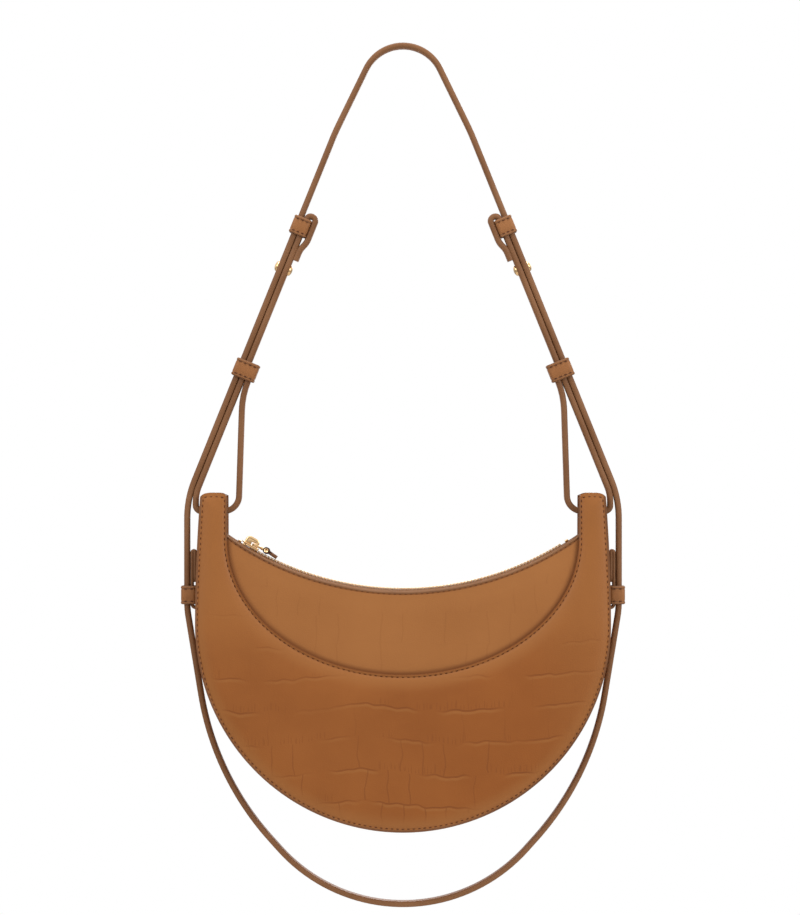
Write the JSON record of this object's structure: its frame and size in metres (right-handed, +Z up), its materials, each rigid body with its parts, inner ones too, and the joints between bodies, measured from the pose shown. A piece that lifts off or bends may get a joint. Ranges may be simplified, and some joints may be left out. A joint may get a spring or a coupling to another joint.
{
  "type": "half moon shoulder bag",
  "caption": "Crescent-shaped zipped leather shoulder bag with two horns, hanging from one long strap that is held by keepers and loops slack under the base.",
  "frame": {"origin": "centre of the strap's crown, where a hook, peg or shoulder carries the bag", "axes": "+X to the right in front view, +Y away from the viewer through the bag's depth, +Z up"},
  "size_m": [0.3104, 0.055, 0.6053],
  "materials": {
    "embossed_leather": "satin, crocodile-style emboss",
    "yoke_leather": "satin, faint emboss",
    "gusset_leather": "satin",
    "strap_leather": "smooth, edges painted",
    "keeper_leather": "smooth, stitched",
    "dark_leather": "smooth",
    "gold_metal": "polished pale gold plate",
    "zip_tape_cloth": "woven tape",
    "lining_cloth": "twill",
    "fibre_board": "raw bonded leather board"
  },
  "bodies": {
    "strap": {"shoulder_strap": "strap_leather", "horn_strap_left": "strap_leather", "horn_strap_right": "strap_leather", "upper_keeper_left": "keeper_leather", "upper_keeper_right": "keeper_leather", "lower_keeper_left": "keeper_leather", "lower_keeper_right": "keeper_leather", "stud_post_left": "gold_metal", "stud_post_right": "gold_metal", "stud_cap_left": "gold_metal", "stud_cap_right": "gold_metal", "strap_side_strand_left": "strap_leather", "strap_side_strand_right": "strap_leather"},
    "bag": {"front_crescent_panel": "embossed_leather", "back_crescent_panel": "embossed_leather", "front_yoke_panel": "yoke_leather", "back_yoke_panel": "yoke_leather", "outer_gusset": "gusset_leather", "horn_gusset_left": "gusset_leather", "horn_gusset_right": "gusset_leather", "front_stiffener_board": "fibre_board", "back_stiffener_board": "fibre_board", "lining": "lining_cloth", "front_slip_pocket": "lining_cloth", "back_slip_pocket": "lining_cloth", "side_tab_left": "keeper_leather", "side_tab_right": "keeper_leather", "side_keeper_left": "keeper_leather", "side_keeper_right": "keeper_leather", "strap_base_loop": "strap_leather", "zip_tape_front": "zip_tape_cloth", "zip_tape_back": "zip_tape_cloth", "zip_teeth_front": "gold_metal", "zip_teeth_back": "gold_metal", "zip_top_stop_front": "gold_metal", "zip_top_stop_back": "gold_metal", "zip_bottom_stop": "gold_metal"},
    "zip_slider": {"zip_slider": "gold_metal"},
    "zip_pull": {"zip_pull": "gold_metal"},
    "zip_pull_tab": {"zip_pull_tab": "dark_leather"}
  },
  "joints": [
    {"name": "bag_swing", "type": "hinge", "parent": "strap", "child": "bag", "pos_m": [0, 0, -0.2975], "axis": [1, 0, 0], "range_deg": [-30, 30], "deforming": ["strap_side_strand_left", "strap_side_strand_right"]},
    {"name": "zip_slide", "type": "hinge", "parent": "bag", "child": "zip_slider", "pos_m": [0, 0, -0.14034], "axis": [0, -1, 0], "range_deg": [0, 60], "deforming": ["zip_tape_front", "zip_tape_back", "zip_teeth_front", "zip_teeth_back"]},
    {"name": "pull_swing", "type": "hinge", "parent": "zip_slider", "child": "zip_pull", "pos_m": [-0.10518, 0, -0.32073], "axis": [0, -1, 0], "range_deg": [0, 95]},
    {"name": "pull_tab_swing", "type": "hinge", "parent": "zip_pull", "child": "zip_pull_tab", "pos_m": [-0.09589, 0, -0.32494], "axis": [0, -1, 0], "range_deg": [0, 45]}
  ]
}
